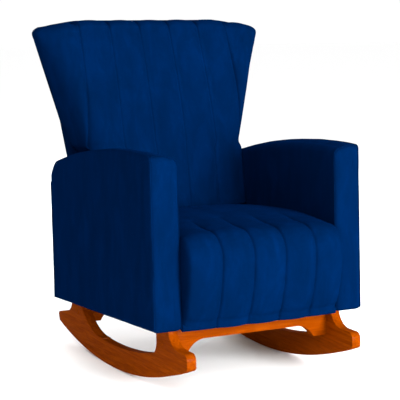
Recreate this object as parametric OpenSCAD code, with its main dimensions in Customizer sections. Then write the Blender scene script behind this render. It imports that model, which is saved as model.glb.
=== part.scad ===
// Upholstered rocking chair: a padded box with a fan-shaped channelled back,
// standing on two one-piece wooden rockers joined by two bracket-ended stretchers.
// The chair faces -Y, and left is the sitter's left, +X. Every piece is drawn in the
// body's own frame (y = 0 at the arm fronts, z = 0 at the underside of the body) and
// the finished chair is turned about the centre of the rocker arc to its rest lean.

/* [Body] */
// Width across the two arms
body_w = 676; // [560:10:800]
// Depth from the arm fronts to the outside of the back panel
body_d = 716; // [600:10:860]
// Angle that the whole chair leans back when it stands still
rest_lean = 3; // [0:0.5:5]

/* [Arms] */
// Width of one arm
arm_t = 87; // [70:2:110]
// Height of an arm at its front, above the underside of the body
arm_h = 477; // [400:1:580]
// Rise of the arm's crest above its front
arm_crest = 10; // [0:1:16]
// Distance from the arm's front to its crest
arm_crest_y = 200; // [170:10:300]
// Foam on top of an arm
arm_pad_top = 28; // [15:1:40]
// Foam on the inner face of an arm
arm_pad_in = 25; // [15:1:30]

/* [Seat] */
// Height of the seat's crest above the underside of the body
seat_h = 287; // [240:1:340]
// How far the seat's front stands proud of the arms
seat_bulge = 62; // [40:1:80]
// Radius of the roll along the front of the seat
seat_roll_r = 77; // [60:1:90]
// Height of the seat rails
rail_h = 130; // [90:1:150]
// Thickness of the front and rear seat rails
rail_t = 28; // [20:1:36]
// Thickness of the side rails that stand on the rockers
side_rail_t = 36; // [30:1:40]

/* [Back] */
// Height of the back's top above the underside of the body
back_h = 865; // [700:1:980]
// Width across the top corners
flare_w = 788; // [640:10:900]
// How far the back stands out past the arms' inner faces just above the arms
waist_out = 16; // [4:1:80]
// How hollow the sides are as they spread, 1 being straight
flare_curve = 1.2; // [1:0.01:2]
// Distance from the arm fronts to the foot of the back's front face
seat_depth = 505; // [430:5:620]
// How far the front face leans back from foot to top
back_rake = 135; // [90:5:170]
// How far the front face is crowned forward
back_crown = 22; // [0:1:35]
// How far the outside panel leans back from the arms to the top, less than 0 being forward
panel_rake = -20; // [-30:1:60]
// Radius of the top corners
corner_r = 30; // [15:1:50]
// Drop of the wing tops below the middle of the back
wing_drop = 21; // [5:1:40]

/* [Rockers] */
// Radius of the arc that rolls on the floor
rocker_r = 1311; // [1000:1:1700]
// Depth of the curved bar
bar_d = 68; // [56:1:80]
// Thickness of the rocker board
rocker_t = 28; // [24:1:36]
// Drop from the underside of the body to the lowest point of the arc
rocker_drop = 175; // [150:1:220]
// Distance from the arm fronts back to the centre of the arc
arc_y = 368; // [250:1:450]
// How far the nose stands in front of the arms
nose_reach = 77; // [60:1:110]
// How far the tail stands behind the back panel
tail_reach = 112; // [70:1:150]
// Distance from the arm fronts back to the front post
front_post_y = 33; // [20:1:50]
// Depth of the front post, front to back
front_post_d = 74; // [66:1:90]
// Depth of the rear post, front to back
rear_post_d = 64; // [56:1:90]

/* [Stretchers] */
// Thickness of a stretcher board
stretcher_t = 24; // [18:1:30]
// Depth of a stretcher in the middle
stretcher_d = 44; // [30:1:50]
// Depth of a stretcher at its bracket ends
bracket_d = 79; // [66:1:86]
// Length of the flat foot of a bracket
bracket_foot = 45; // [35:1:70]
// Radius of the curve into a bracket
bracket_r = 62; // [40:1:80]

/* [Layers and hardware] */
// Thickness of the velvet with its wadding
cover_t = 3; // [2:0.5:4]
// Thickness of the outside panels
panel_t = 4; // [3:0.5:6]
// Thickness of the hardboard behind the side panels
board_t = 3; // [2:0.5:5]
// Section of the boards in the arms
arm_board = 60; // [40:1:80]
// Depth of the arm's top rail
arm_rail_d = 35; // [25:1:45]
// Thickness of the back posts and wing boards
back_board = 30; // [22:1:36]
// Width of a back post
back_post_w = 36; // [28:1:50]
// Diameter of the stretcher and hanger bolts
bolt_d = 8; // [6:1:8]
// Diameter of the bolts in the arms and the back
small_bolt_d = 6; // [5:1:6]
// Wire diameter of the seat springs
wire_d = 3.6; // [3:0.2:4.2]
// Bars of wire in one seat spring
spring_bars = 21; // [15:2:27]
// Half width of a seat spring
spring_half = 22; // [16:1:26]

/* [Hidden] */
$fn = 64;
arc_fn = 360;
gap = 1;              // clearance between soft pieces that lie side by side
fit = 0.1;            // radial clearance of a bolt in its hole
deep = 600;           // longer than any cut needs to be

inner_half = body_w / 2 - arm_t;
rail_x0 = inner_half + cover_t;
rail_x1 = rail_x0 + side_rail_t;
core_x0 = rail_x0 + arm_pad_in;
panel_x = body_w / 2 - panel_t;
board_x = panel_x - board_t;
core_x1 = board_x - cover_t;
rocker_x = inner_half + rocker_t / 2;
frame_front = 17;                       // front faces of the arm posts and seat rails
frame_rear = body_d - 8;                // rear ends of the side rails
arm_frame_rear = body_d - 35;
arm_rear = body_d - panel_t;
arm_front_r = 14;
arm_rear_r = 56;
front_rail_y = frame_front + rail_t;
post_rear = body_d - panel_t - gap;
post_front = post_rear - back_board;
rear_rail_y = post_front - rail_t;
arm_steps = 24;

seat_half = inner_half - gap;
seat_low = -8;                          // lip of the front border, below the rails
seat_roll_y = seat_roll_r - seat_bulge;
seat_roll_z = seat_h - 20 - seat_roll_r;
seat_crest_y = 300;
seat_lip = 50;                          // how far the front border tucks back at its lip
skirt = 4;                              // how far the outer panels hang below the rails
apron_y = frame_front - cover_t - 2;
pad_z = rail_h + 9;                     // underside of the pad on the springs
foam_z = pad_z + 6;
spring_z = rail_h + wire_d / 2;
spring_y0 = frame_front + rail_t / 2;
spring_y1 = rear_rail_y + rail_t / 2;
spring_pitch = (spring_y1 - spring_y0) / (spring_bars - 1);
spring_step = 2 * seat_half / 5;        // one spring under each seat channel

back_foot = seat_z(seat_depth) + 2;
panel_z = arm_z(arm_rear, 0);           // where the back panel starts to lean
wing_z = arm_top(seat_depth + 40) + 3;  // underside of the wings, over the arms
waist_z = arm_h - 28;
waist_half = inner_half + waist_out;
lumbar_z0 = back_foot + 20;
lumbar_z1 = back_foot + 70;
top_rail_z0 = back_h - 90;
top_rail_z1 = back_h - 34;
web_w = 55;
web_count = 4;
web_step = (top_rail_z0 - lumbar_z1) / web_count;
corner_z = back_h - wing_drop - corner_r / 2;
fan_half = 5 * spring_step / 2;         // half width of the five channels

post_y1 = body_d - 6;                   // rear edge of the rear post
post_y0 = post_y1 - rear_post_d;
bracket_a = asin((bracket_r + stretcher_d - bracket_d) / bracket_r);  // where its curve starts
front_stretcher_y = front_post_y + 25;
rear_stretcher_y = post_y0 + 10;
nose_r = 18;
nose_toe_r = 12;                        // rounds the nose down to the arc that rolls
nose_toe_y = nose_toe_r - nose_reach;
nose_toe_z = rocker_r - rocker_drop - sqrt(pow(rocker_r - nose_toe_r, 2) - pow(arc_y - nose_toe_y, 2));
nose_toe_a = 180 + acos((arc_y - nose_toe_y) / (rocker_r - nose_toe_r));
bolt_z = -46;
hanger_front_y = front_post_y + front_post_d - 15;
hanger_rear_y = frame_rear - 14;
head_d = 13;
head_l = 6;
plug_d = 14;
plug_l = 7;
hanger_down = 45;
insert_l = 30;
insert_d = 12;
nut_d = 12;
nut_inset = 34;                         // barrel nut from the end of its stretcher

wood = "#b5601c";
velvet = "#0a2f66";
timber = "#d2b184";
foam = "#efe3b0";
steel = "#9a9ea3";

// ---- curves that several pieces share ----

// drop of a quarter-round corner of radius r at a distance d from its face
function corner_drop(d, r) = d >= r ? 0 : r - sqrt(max(0, r * r - (r - d) * (r - d)));

// crest line of an arm, and the same line with its rounded ends, inset by i
function arm_top(y) = arm_h + arm_crest * (1 - pow((y - arm_crest_y) / arm_crest_y, 2));
function arm_z(y, i) = arm_top(y) - i - corner_drop(y - i, arm_front_r)
    - corner_drop(arm_rear - i - y, arm_rear_r);

// closed side outline of an arm: round steps crowd towards both ends
function arm_outline(y0, y1, low, i) = concat(
    [[y0, low], [y1, low]],
    [for (k = [arm_steps:-1:0]) let (y = y0 + (y1 - y0) * (1 - cos(180 * k / arm_steps)) / 2)
        [y, arm_z(y, i)]]
);

// side outline of a board under the crest line, between two depths below it
function under_crest(y0, y1, upper, lower) = concat(
    [for (k = [0:arm_steps]) let (y = y0 + (y1 - y0) * k / arm_steps) [y, arm_top(y) - upper]],
    [for (k = [arm_steps:-1:0]) let (y = y0 + (y1 - y0) * k / arm_steps)
        [y, lower == undef ? 0 : arm_top(y) - lower]]
);

// top line and front line of the seat
function seat_z(y) = seat_h - 20 * pow((y - seat_crest_y) / (seat_crest_y - seat_roll_y), 2);
function seat_front(z) = -seat_bulge
    + seat_lip * pow(1 - (z - seat_low) / (seat_roll_z - seat_low), 2);

function seat_outline(i) = concat(
    [for (k = [0:12]) let (z = seat_low + i + (seat_roll_z - seat_low - i) * k / 12)
        [seat_front(z) + i, z]],
    [for (a = [175:-5:90]) [seat_roll_y + (seat_roll_r - i) * cos(a),
        seat_roll_z + (seat_roll_r - i) * sin(a)]],
    [for (k = [1:16]) let (y = seat_roll_y + (rear_rail_y - seat_roll_y) * k / 16)
        [y, seat_z(y) - i]],
    [[rear_rail_y, foam_z], [apron_y - i, foam_z], [apron_y - i, seat_low + i]]
);

// front face of the back, and the outside panel behind it
function back_t(z) = (z - back_foot) / (back_h - back_foot);
function back_front(z) = seat_depth + back_rake * back_t(z)
    - 4 * back_crown * back_t(z) * (1 - back_t(z));
function back_rear(z) = body_d + panel_rake * max(0, (z - panel_z) / (back_h - panel_z));

// side outline of a slice of the back between the front face + f and the rear face - r
function back_slice(f, r, low, high) = concat(
    [for (k = [0:16]) let (z = low + (high - low) * k / 16) [back_front(z) + f, z]],
    [[back_rear(high) - r, high], [back_rear(panel_z) - r, panel_z], [back_rear(low) - r, low]]
);
function frame_slice(f, r, low, high) = [
    [back_rear(low) - f, low], [back_rear(panel_z) - f, panel_z], [back_rear(high) - f, high],
    [back_rear(high) - r, high], [back_rear(panel_z) - r, panel_z], [back_rear(low) - r, low]
];

// half width of the spreading part of the back
function flare(z) = waist_half
    + (flare_w / 2 - waist_half) * pow(max(0, (z - waist_z) / (corner_z - waist_z)), flare_curve);

// right-hand edge of the back from the wing's underside up to the middle of the top
function flare_edge(i) = concat(
    [for (k = [0:12]) let (z = wing_z + i + (corner_z - corner_r / 2 - wing_z - i) * k / 12)
        [flare(z) - i, z]],
    [for (a = [0:15:75]) [flare_w / 2 - corner_r - 2 + (corner_r - i) * cos(a),
        back_h - wing_drop - corner_r + (corner_r - i) * sin(a)]],
    [[fan_half + 12, back_h - wing_drop / 2 - i], [fan_half - 8, back_h - i]]
);
function mirrored(p) = [for (k = [len(p) - 1:-1:0]) [-p[k][0], p[k][1]]];
function both_sides(p) = concat(p, mirrored(p));

// ---- helpers ----

// turn an outline in (y, z) or (x, z) into a solid between two planes
module along_x(x0, x1) translate([x0, 0, 0]) rotate([90, 0, 90]) linear_extrude(x1 - x0) children();
module along_y(y0, y1) translate([0, y1, 0]) rotate([90, 0, 0]) linear_extrude(y1 - y0) children();
module block(x0, x1, y0, y1, z0, z1) translate([x0, y0, z0]) cube([x1 - x0, y1 - y0, z1 - z0]);
module on_side(left) {
    if (left) children();
    else mirror([1, 0, 0]) children();
}
module both() {
    children();
    mirror([1, 0, 0]) children();
}
// the rest pose: turned about the centre of the rocker arc, lowest point on the floor
module at_rest() translate([0, 0, rocker_r]) rotate([-rest_lean, 0, 0])
    translate([0, -arc_y, rocker_drop - rocker_r]) children();

// places of the bolts
module at_stretcher_bolts() both() for (y = [front_stretcher_y, rear_stretcher_y])
    translate([inner_half + rocker_t, y + stretcher_t / 2, bolt_z]) rotate([0, -90, 0]) children();
module at_hangers() both() for (y = [hanger_front_y, hanger_rear_y])
    translate([rocker_x, y, 0]) children();
module at_arm_bolts() both() for (y = [frame_front + arm_board / 2, arm_frame_rear - arm_board / 2])
    for (z = [rail_h * 0.3, rail_h * 0.72]) translate([core_x1, y, z]) rotate([0, -90, 0]) children();
module at_back_bolts() both() for (z = [rail_h * 0.3, rail_h * 0.72])
    translate([inner_half - 7 - back_post_w / 2, post_rear, z]) rotate([90, 0, 0]) children();

// ---- rockers and stretchers ----

module front_post_shape() translate([front_post_y, 0]) {
    translate([0, -deep]) square([front_post_d, deep]);
    // hollow curve from the post down to the nose
    difference() {
        translate([-58, -54]) square([58, 54]);
        translate([-58, 6]) circle(58);
    }
    // hollow curve from the post down to the bar
    difference() {
        translate([front_post_d, -96]) square([44, 50]);
        translate([front_post_d + 44, -46]) circle(44);
    }
}
module nose_shape() polygon(concat(
    [[front_post_y, -deep], [nose_toe_y + nose_toe_r * cos(nose_toe_a), -deep]],
    [for (k = [0:6]) let (a = nose_toe_a + (180 - nose_toe_a) * k / 6)
        [nose_toe_y + nose_toe_r * cos(a), nose_toe_z + nose_toe_r * sin(a)]],
    [for (a = [180:-15:90]) [-nose_reach + nose_r + nose_r * cos(a), -54 - nose_r + nose_r * sin(a)]],
    [[front_post_y - 58, -52], [front_post_y, -52]]
));
module rear_post_shape() {
    translate([post_y0, -deep]) square([rear_post_d, deep]);
    difference() {
        translate([post_y0 - 164, -104]) square([164, 104]);
        translate([post_y0 - 164, 90]) circle(190);
    }
    difference() {
        translate([post_y1, -56]) square([48, 50]);
        translate([post_y1 + 48, -6]) circle(48);
    }
}
module tail_shape() polygon([
    [post_y1, -deep], [post_y1, -54], [post_y1 + 48, -54], [body_d + tail_reach - 12, -64],
    [body_d + tail_reach - 3, -67], [body_d + tail_reach, -75], [body_d + tail_reach - 5, -90],
    [body_d + tail_reach - 30, -deep]
]);
module rocker_shape() intersection() {
    translate([arc_y, rocker_r - rocker_drop]) circle(rocker_r, $fn = arc_fn);
    union() {
        front_post_shape();
        nose_shape();
        rear_post_shape();
        tail_shape();
        difference() {
            translate([0, -deep]) square([post_y1, deep]);
            translate([arc_y, rocker_r - rocker_drop]) circle(rocker_r - bar_d, $fn = arc_fn);
        }
    }
}
module rocker(left) color(wood) on_side(left) difference() {
    along_x(inner_half, inner_half + rocker_t) rocker_shape();
    at_stretcher_bolts() {
        translate([0, 0, -1]) cylinder(d = plug_d + 2 * fit, h = plug_l + head_l + 1);
        cylinder(d = bolt_d + 2 * fit, h = rocker_t + 1);
    }
    at_hangers() translate([0, 0, -hanger_down]) cylinder(d = bolt_d + 2 * fit, h = hanger_down + 1);
}

module stretcher_shape() difference() {
    translate([-inner_half, -bracket_d]) square([2 * inner_half, bracket_d]);
    polygon(both_sides(concat(
        [[inner_half - bracket_foot, -bracket_d - 1]],
        [for (k = [0:10]) let (a = bracket_a + (90 - bracket_a) * k / 10)
            [inner_half - bracket_foot + bracket_r * (cos(a) - cos(bracket_a)),
                -stretcher_d - bracket_r + bracket_r * sin(a)]]
    )));
}
module stretcher(y) color(wood) difference() {
    along_y(y, y + stretcher_t) stretcher_shape();
    at_stretcher_bolts() cylinder(d = bolt_d + 2 * fit, h = rocker_t + nut_inset + nut_d);
    both() translate([inner_half - nut_inset, y + 4, bolt_z]) rotate([-90, 0, 0])
        cylinder(d = nut_d + 2 * fit, h = stretcher_t);
}
module front_stretcher() stretcher(front_stretcher_y);
module rear_stretcher() stretcher(rear_stretcher_y);

module stretcher_bolts() color(steel) at_stretcher_bolts() difference() {
    union() {
        translate([0, 0, plug_l]) cylinder(d = head_d, h = head_l);
        translate([0, 0, plug_l]) cylinder(d = bolt_d, h = rocker_t + nut_inset + 8 - plug_l);
    }
    translate([0, 0, plug_l - 1]) cylinder(d = 6, h = 4.5, $fn = 6);
}
module barrel_nuts() color(steel) both() for (y = [front_stretcher_y, rear_stretcher_y])
    difference() {
        translate([inner_half - nut_inset, y + 5, bolt_z]) rotate([-90, 0, 0])
            cylinder(d = nut_d, h = stretcher_t - 6);
        at_stretcher_bolts() cylinder(d = bolt_d + 2 * fit, h = rocker_t + nut_inset + nut_d);
    }
module bolt_plugs() color(wood) at_stretcher_bolts() {
    translate([0, 0, -0.6]) cylinder(d = plug_d, h = plug_l + 0.6);
    translate([0, 0, -1.4]) cylinder(d1 = plug_d - 4, d2 = plug_d, h = 0.8);
}
module hanger_bolts() color(steel) at_hangers()
    translate([0, 0, 1 - hanger_down]) cylinder(d = bolt_d, h = hanger_down + insert_l - 4);
module threaded_inserts() color(steel) at_hangers() difference() {
    translate([0, 0, 0.5]) cylinder(d = insert_d, h = insert_l - 2);
    translate([0, 0, -1]) cylinder(d = bolt_d + 2 * fit, h = insert_l + 2);
}

// ---- seat box ----

module seat_front_rail() color(timber) block(-rail_x0, rail_x0, frame_front, front_rail_y, 0, rail_h);
module seat_rear_rail() color(timber) difference() {
    block(-rail_x0, rail_x0, rear_rail_y, post_front, 0, rail_h);
    at_back_bolts() cylinder(d = small_bolt_d + 2 * fit, h = back_board + rail_t + 2);
}
module seat_side_rail(left) color(timber) on_side(left) difference() {
    block(rail_x0, rail_x1, frame_front, frame_rear, 0, rail_h);
    at_hangers() translate([0, 0, -1]) cylinder(d = insert_d + 2 * fit, h = insert_l + 1);
    at_arm_bolts() cylinder(d = small_bolt_d + 2 * fit, h = core_x1 - rail_x0 - 6);
}
module corner_blocks() color(timber) both() {
    for (end = [[front_rail_y, 1], [rear_rail_y, -1]])
        translate([0, 0, 20]) linear_extrude(rail_h - 40)
            polygon([[rail_x0, end[0]], [rail_x0, end[0] + 58 * end[1]], [rail_x0 - 58, end[0]]]);
}

// one zigzag spring: bars across, half-round bends at alternate ends
module spring_bend() rotate([0, 0, -90]) rotate_extrude(angle = 180)
    translate([spring_pitch / 2, 0]) circle(d = wire_d, $fn = 16);
module seat_spring(n) color(steel) translate([(n - 3) * spring_step, spring_y0, spring_z]) {
    for (k = [0:spring_bars - 1]) let (half = spring_half - spring_pitch / 2)
        translate([-half, k * spring_pitch, 0]) rotate([0, 90, 0])
            cylinder(d = wire_d, h = 2 * half, $fn = 16);
    for (k = [0:spring_bars - 2]) let (s = k % 2 == 0 ? 1 : -1)
        translate([s * (spring_half - spring_pitch / 2), (k + 0.5) * spring_pitch, 0])
            mirror([s > 0 ? 0 : 1, 0, 0]) spring_bend();
}
// folded steel clips that hold the end bars on the rails
module spring_clips() color(steel) for (n = [1:5])
    for (y = [spring_y0, spring_y1]) translate([(n - 3) * spring_step, y, rail_h])
        difference() {
            block(-9, 9, -8, 8, 0, wire_d + 2);
            block(-10, 10, -wire_d / 2 - fit, wire_d / 2 + fit, -1, wire_d + fit);
        }
module spring_tie_wires() color(steel) for (f = [0.35, 0.65])
    translate([-seat_half + 6, spring_y0 + f * (spring_y1 - spring_y0), spring_z + wire_d / 2 + 1.3])
        rotate([0, 90, 0]) cylinder(d = 2.4, h = 2 * seat_half - 12, $fn = 16);
module spring_pad() color("#8c8474")
    block(-seat_half + cover_t, seat_half - cover_t, frame_front, rear_rail_y, pad_z, foam_z - gap / 2);

module seat_foam() color(foam)
    along_x(-seat_half + cover_t, seat_half - cover_t) polygon(seat_outline(cover_t));
module seat_cover() color(velvet) difference() {
    along_x(-seat_half, seat_half) polygon(seat_outline(0));
    along_x(-seat_half + cover_t, seat_half - cover_t) polygon(seat_outline(cover_t));
    block(-deep, deep, apron_y - cover_t, deep * 2, -deep, foam_z);
    block(-seat_half + cover_t, seat_half - cover_t, apron_y - cover_t - 6, deep, 0, foam_z + 1);
}
module dust_cover() color("#26262a") block(-inner_half + 2, inner_half - 2,
    front_stretcher_y + stretcher_t + 2, rear_stretcher_y - 2, -1.5, 0);

// ---- arms ----

module arm_post(left, y0) color(timber) on_side(left) difference() {
    along_x(rail_x1, core_x1) polygon(under_crest(y0, y0 + arm_board, arm_pad_top + arm_rail_d));
    at_arm_bolts() cylinder(d = small_bolt_d + 2 * fit, h = deep / 4);
}
module arm_top_rail(left) color(timber) on_side(left) along_x(core_x0, core_x1)
    polygon(under_crest(frame_front, arm_frame_rear, arm_pad_top, arm_pad_top + arm_rail_d));
module arm_bolts() color(steel) at_arm_bolts() {
    cylinder(d = small_bolt_d, h = core_x1 - rail_x0 - 8);
    translate([0, 0, -2]) cylinder(d = 12, h = 2);
}
module arm_padding(left) color(foam) on_side(left) difference() {
    along_x(rail_x0, board_x - gap / 2) polygon(arm_outline(cover_t, arm_rear - cover_t, 0, cover_t));
    along_x(core_x0 - gap / 2, deep)
        polygon(under_crest(frame_front - gap / 2, arm_frame_rear + gap / 2, arm_pad_top - gap / 2));
    block(0, deep, frame_front - gap / 2, frame_rear + gap / 2, -1, rail_h + gap / 2);
}
module arm_cover(left) color(velvet) on_side(left) difference() {
    along_x(inner_half, panel_x) polygon(arm_outline(0, arm_rear, 0, 0));
    along_x(rail_x0, deep) polygon(arm_outline(cover_t, arm_rear - cover_t, -1, cover_t));
    block(0, deep, -1, cover_t, -1, deep);
    block(0, deep, -1, deep * 2, -1, rail_h + gap / 2);
}
module arm_front_panel(left) color(velvet) on_side(left)
    along_y(0, cover_t) translate([inner_half, -skirt]) square([panel_x - inner_half, arm_z(0, 0) + skirt]);
module side_board(left) color("#a9793f") on_side(left)
    along_x(board_x, panel_x) polygon(arm_outline(cover_t + 3, arm_rear - cover_t - 3, 2, cover_t + 3));
module side_panel(left) color(velvet) on_side(left)
    along_x(panel_x, body_w / 2) polygon(arm_outline(0, arm_rear, -skirt, 0));

// ---- back ----

module back_post(left) color(timber) on_side(left) difference() {
    along_x(inner_half - 7 - back_post_w, inner_half - 7)
        polygon(frame_slice(panel_t + gap + back_board, panel_t + gap, 0, top_rail_z1));
    at_back_bolts() cylinder(d = small_bolt_d + 2 * fit, h = back_board + 2);
}
module back_cross_rail(z0, z1) color(timber) intersection() {
    along_x(-inner_half + 7 + back_post_w, inner_half - 7 - back_post_w)
        polygon(frame_slice(panel_t + gap + back_board, panel_t + gap, 0, back_h));
    block(-deep, deep, 0, deep * 2, z0, z1);
}
module back_top_rail() back_cross_rail(top_rail_z0, top_rail_z1);
module back_lumbar_rail() back_cross_rail(lumbar_z0, lumbar_z1);
// plywood ear that carries the wing beyond the post
module wing_board(left) color(timber) on_side(left) intersection() {
    along_x(inner_half - 7, deep)
        polygon(frame_slice(panel_t + gap + back_board, panel_t + gap + 8, 0, back_h));
    along_y(0, body_d + deep) polygon(concat(
        [[inner_half - 7, top_rail_z1], [inner_half - 7, wing_z + 14]],
        [for (k = [0:8]) let (z = wing_z + 14 + (corner_z - 30 - wing_z) * k / 8) [flare(z) - 14, z]],
        [[flare_w / 2 - corner_r - 10, back_h - 42]]
    ));
}
module back_bolts() color(steel) at_back_bolts() {
    cylinder(d = small_bolt_d, h = back_board + rail_t - 6);
    translate([0, 0, -gap]) cylinder(d = 12, h = gap);
}
module back_webbing() color("#5b5348") intersection() {
    along_x(-inner_half + 8, inner_half - 8)
        polygon(frame_slice(panel_t + gap + back_board + 2, panel_t + gap + back_board, 0, back_h));
    for (k = [0:web_count - 1]) let (z = lumbar_z1 + web_step * (k + 0.5))
        block(-deep, deep, 0, deep * 2, z - web_w / 2, z + web_w / 2);
}

module back_shape(i, low) polygon(both_sides(concat(
    [[inner_half - gap - i, low], [inner_half - gap - i, wing_z + i]],
    flare_edge(i)
)));
module back_foam() color(foam) intersection() {
    along_y(0, body_d + deep) back_shape(cover_t, back_foot + cover_t);
    along_x(-deep, deep)
        polygon(back_slice(cover_t, panel_t + gap + back_board + 2 + gap, back_foot, back_h));
}
module back_cover() color(velvet) difference() {
    intersection() {
        along_y(0, body_d + deep) back_shape(0, back_foot);
        along_x(-deep, deep) polygon(back_slice(0, panel_t, back_foot, back_h));
    }
    intersection() {
        along_y(0, body_d + deep + 1) back_shape(cover_t, back_foot - 1);
        along_x(-deep, deep) polygon(back_slice(cover_t, -deep / 2, back_foot - 1, back_h));
    }
}
module back_panel() color(velvet) intersection() {
    along_x(-deep, deep) polygon(frame_slice(panel_t, 0, 0, back_h));
    along_y(0, body_d + deep) polygon(both_sides(concat(
        [[body_w / 2, 0], [body_w / 2, panel_z - 4], [waist_half + 4, panel_z + 54]],
        flare_edge(0)
    )));
}

// ---- the chair ----

at_rest() {
    rocker(true);  // rocker_left
    rocker(false);  // rocker_right
    front_stretcher();
    rear_stretcher();
    stretcher_bolts();
    barrel_nuts();
    bolt_plugs();
    hanger_bolts();
    threaded_inserts();
    seat_front_rail();
    seat_rear_rail();
    seat_side_rail(true);  // seat_side_rail_left
    seat_side_rail(false);  // seat_side_rail_right
    corner_blocks();
    for (n = [1:5]) seat_spring(n);
    spring_clips();
    spring_tie_wires();
    spring_pad();
    seat_foam();
    seat_cover();
    dust_cover();
    arm_post(true, frame_front);  // arm_front_post_left
    arm_post(false, frame_front);  // arm_front_post_right
    arm_post(true, arm_frame_rear - arm_board);  // arm_rear_post_left
    arm_post(false, arm_frame_rear - arm_board);  // arm_rear_post_right
    arm_top_rail(true);  // arm_top_rail_left
    arm_top_rail(false);  // arm_top_rail_right
    arm_bolts();
    arm_padding(true);  // arm_padding_left
    arm_padding(false);  // arm_padding_right
    arm_cover(true);  // arm_cover_left
    arm_cover(false);  // arm_cover_right
    arm_front_panel(true);  // arm_front_panel_left
    arm_front_panel(false);  // arm_front_panel_right
    side_board(true);  // side_board_left
    side_board(false);  // side_board_right
    side_panel(true);  // side_panel_left
    side_panel(false);  // side_panel_right
    back_post(true);  // back_post_left
    back_post(false);  // back_post_right
    back_top_rail();
    back_lumbar_rail();
    wing_board(true);  // wing_board_left
    wing_board(false);  // wing_board_right
    back_bolts();
    back_webbing();
    back_foam();
    back_cover();
    back_panel();
}
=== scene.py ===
import math

import bmesh
import bpy
from mathutils import Matrix, Vector, noise


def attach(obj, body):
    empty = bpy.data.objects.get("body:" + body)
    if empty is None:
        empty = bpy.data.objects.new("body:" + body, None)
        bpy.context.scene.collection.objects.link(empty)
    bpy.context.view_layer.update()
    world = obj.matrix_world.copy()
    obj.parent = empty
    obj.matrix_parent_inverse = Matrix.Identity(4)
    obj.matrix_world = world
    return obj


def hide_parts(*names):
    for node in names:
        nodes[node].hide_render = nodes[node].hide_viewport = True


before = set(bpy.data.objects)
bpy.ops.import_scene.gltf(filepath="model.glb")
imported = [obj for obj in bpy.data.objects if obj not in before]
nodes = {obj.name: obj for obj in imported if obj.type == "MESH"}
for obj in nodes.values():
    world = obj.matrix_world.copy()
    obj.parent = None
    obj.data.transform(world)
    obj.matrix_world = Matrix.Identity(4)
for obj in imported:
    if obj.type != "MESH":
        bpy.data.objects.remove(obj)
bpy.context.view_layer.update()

bpy.ops.object.select_all(action="DESELECT")

# Soft pieces are drawn in the upright body's own frame: x to the sitter's left, y back from
# the arm fronts, z up from the underside of the body, in metres. Then they lean with it.
rest = {"lean": 3.0, "arcRadius": 1.311, "arcY": 0.368, "drop": 0.175}
leanBack = (
    Matrix.Translation((0, 0, rest["arcRadius"]))
    @ Matrix.Rotation(math.radians(-rest["lean"]), 4, "X")
    @ Matrix.Translation((0, -rest["arcY"], rest["drop"] - rest["arcRadius"]))
)
upright = leanBack.inverted()

body = {
    "halfWidth": 0.338, "depth": 0.716, "armInner": 0.251, "panelX": 0.334, "armRear": 0.712,
    "skirt": 0.004,
    "armHeight": 0.477, "armCrest": 0.010, "armCrestY": 0.200, "armFrontRadius": 0.014,
    "armRearRadius": 0.056,
    "seatHeight": 0.287, "seatCrestY": 0.300, "rollY": 0.015, "rollZ": 0.190, "rollRadius": 0.077,
    "seatLow": -0.008, "bulge": 0.062, "lip": 0.050, "footY": 0.505, "top": 0.865, "rake": 0.135,
    "crown": 0.022, "panelRake": -0.020, "waistHalf": 0.267, "flareHalf": 0.394, "waistZ": 0.449,
    "cornerZ": 0.829, "flareCurve": 1.2, "wingDrop": 0.021, "cornerRadius": 0.030, "channel": 0.100,
    "wingFrom": 0.720, "edgeRoll": 0.078, "fan": 0.062, "inner": 0.250, "shoulder": 0.815,
    "skinGap": 0.0002,
}

# A sewn groove is a wide hollow with a narrow crease at its stitches; beside it the cloth puckers.
groove = {"hollow": 0.62, "hollowPower": 2.2, "wingHollow": 0.030, "crease": 0.38, "creaseWidth": 0.003,
          "puckerReach": 0.014, "puckerShare": 0.9}


def cornerDrop(distance, radius):
    return 0 if distance >= radius else radius - math.sqrt(max(0, radius ** 2 - (radius - distance) ** 2))


def armTop(y):
    return body["armHeight"] + body["armCrest"] * (1 - ((y - body["armCrestY"]) / body["armCrestY"]) ** 2)


def armLine(y):  # crest line with its rounded ends
    ends = cornerDrop(y, body["armFrontRadius"]) + cornerDrop(body["armRear"] - y, body["armRearRadius"])
    return armTop(y) - ends


def seatTop(y):
    return body["seatHeight"] - 0.020 * ((y - body["seatCrestY"]) / (body["seatCrestY"] - body["rollY"])) ** 2


def seatFront(z):
    t = (z - body["seatLow"]) / (body["rollZ"] - body["seatLow"])
    return -body["bulge"] + body["lip"] * (1 - t) ** 2


footZ = seatTop(body["footY"]) + 0.002
panelZ = armLine(body["armRear"])
wingZ = armTop(body["footY"] + 0.040) + 0.003


def backFront(z):
    t = (z - footZ) / (body["top"] - footZ)
    return body["footY"] + body["rake"] * t - 4 * body["crown"] * t * (1 - t)


def backRear(z):
    return body["depth"] + body["panelRake"] * max(0, (z - panelZ) / (body["top"] - panelZ))


def flareHalf(z):
    t = max(0, (z - body["waistZ"]) / (body["cornerZ"] - body["waistZ"]))
    return body["waistHalf"] + (body["flareHalf"] - body["waistHalf"]) * t ** body["flareCurve"]


def smoothStep(low, high, value):
    t = min(1, max(0, (value - low) / (high - low)))
    return t * t * (3 - 2 * t)


def aboveArms(z):
    return smoothStep(wingZ - 0.004, wingZ + 0.018, z)


def backHalf(z):  # half width of the back at z, with its top corners rounded
    below = max(0, body["top"] - body["wingDrop"] - z)
    spread = flareHalf(min(z, body["cornerZ"])) - cornerDrop(below, body["cornerRadius"])
    least = body["inner"] + body["skinGap"]
    return least + (spread - least) * aboveArms(z)


def fanOut(z):  # the seams stand widest apart just above the arms
    return 1 + body["fan"] * aboveArms(z) * (1 - 0.62 * smoothStep(0.50, 0.84, z))


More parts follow.
